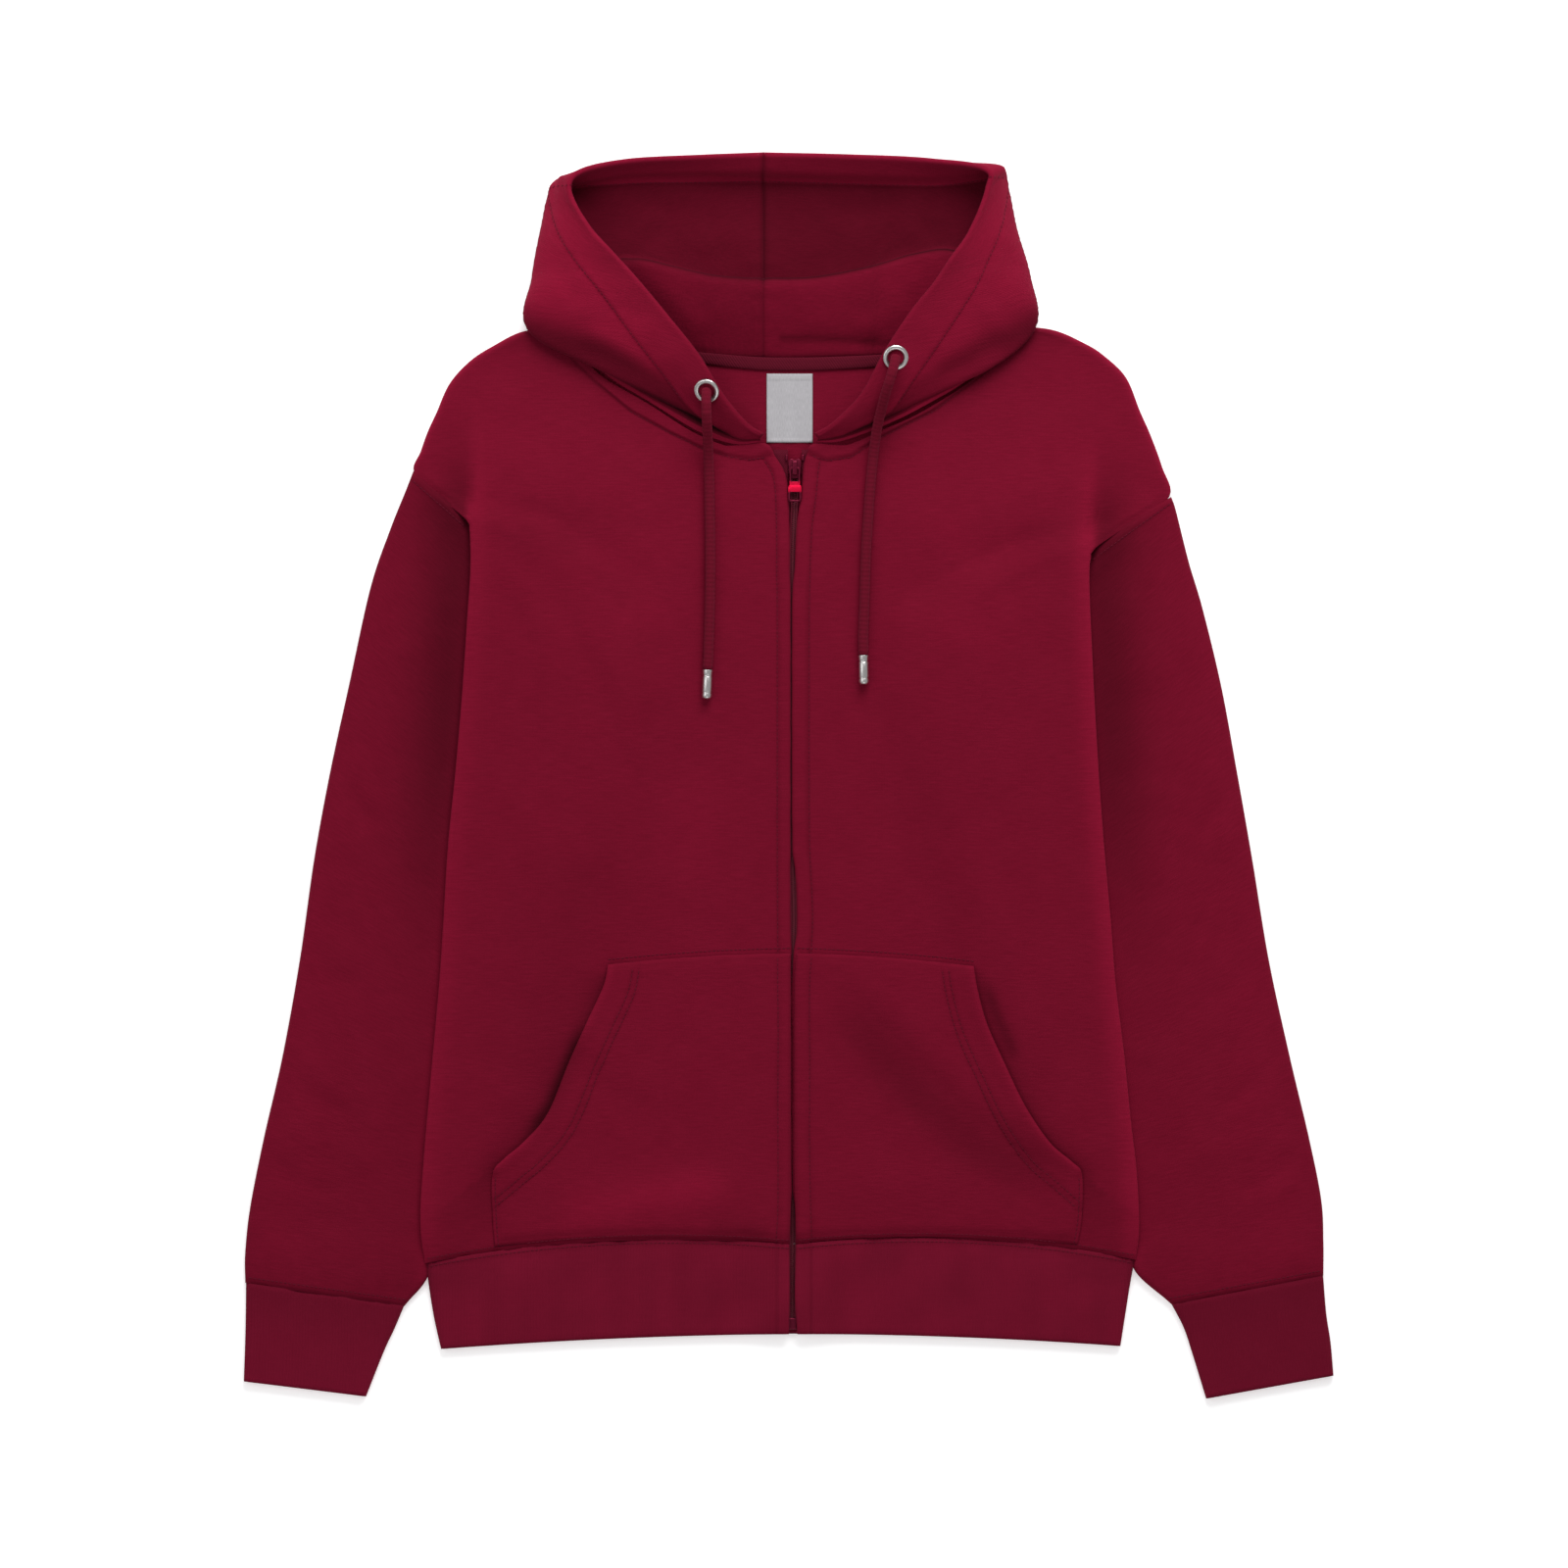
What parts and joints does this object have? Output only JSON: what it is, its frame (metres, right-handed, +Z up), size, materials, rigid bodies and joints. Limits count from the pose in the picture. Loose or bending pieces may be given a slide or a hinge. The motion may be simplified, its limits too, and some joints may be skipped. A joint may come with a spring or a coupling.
{
  "type": "zip up hoodie",
  "caption": "Zip-up hoodie in burgundy fleece laid flat on its back, hood open, sleeves drawn down beside the body.",
  "frame": {"origin": "middle of the footprint of the laid garment, on the surface it lies on", "axes": "+Y from hem to hood, +Z up from the surface, +X to the viewer's right, which is the wearer's left"},
  "size_m": [0.7566, 0.866, 0.0418],
  "materials": {
    "fleece": "brushed loopback fleece, matt",
    "ribbing": "rib knit, matt",
    "tape": "twill tape, matt",
    "label": "woven satin, plain",
    "zip_cloth": "woven zip tape, matt",
    "zip_teeth": "moulded coil, semi-matt",
    "lacquer": "satin lacquer",
    "nickel": "polished nickel plate",
    "braid": "braided cord, matt"
  },
  "bodies": {
    "garment": {"back_panel": "fleece", "front_panel_right": "fleece", "front_panel_left": "fleece", "sleeve_right": "fleece", "sleeve_left": "fleece", "hood_right": "fleece", "hood_left": "fleece", "hood_folded_back": "fleece", "pocket_right": "fleece", "pocket_left": "fleece", "cuff_right": "ribbing", "cuff_left": "ribbing", "waistband": "ribbing", "neck_tape": "tape", "neck_label": "label", "zip_tape_right": "zip_cloth", "zip_tape_left": "zip_cloth", "zip_chain": "zip_teeth", "zip_slider": "lacquer", "zip_box": "lacquer", "zip_stop_right": "lacquer", "zip_stop_left": "lacquer", "eyelet_right": "nickel", "eyelet_left": "nickel", "drawcord_right": "braid", "drawcord_left": "braid", "aglet_right": "nickel", "aglet_left": "nickel"},
    "pull": {"zip_pull": "lacquer"}
  },
  "joints": [
    {"name": "pull_hinge", "type": "hinge", "parent": "garment", "child": "pull", "pos_m": [0.0048, 0.213, 0.00935], "axis": [-1, 0, 0], "range_deg": [0, 150]}
  ]
}
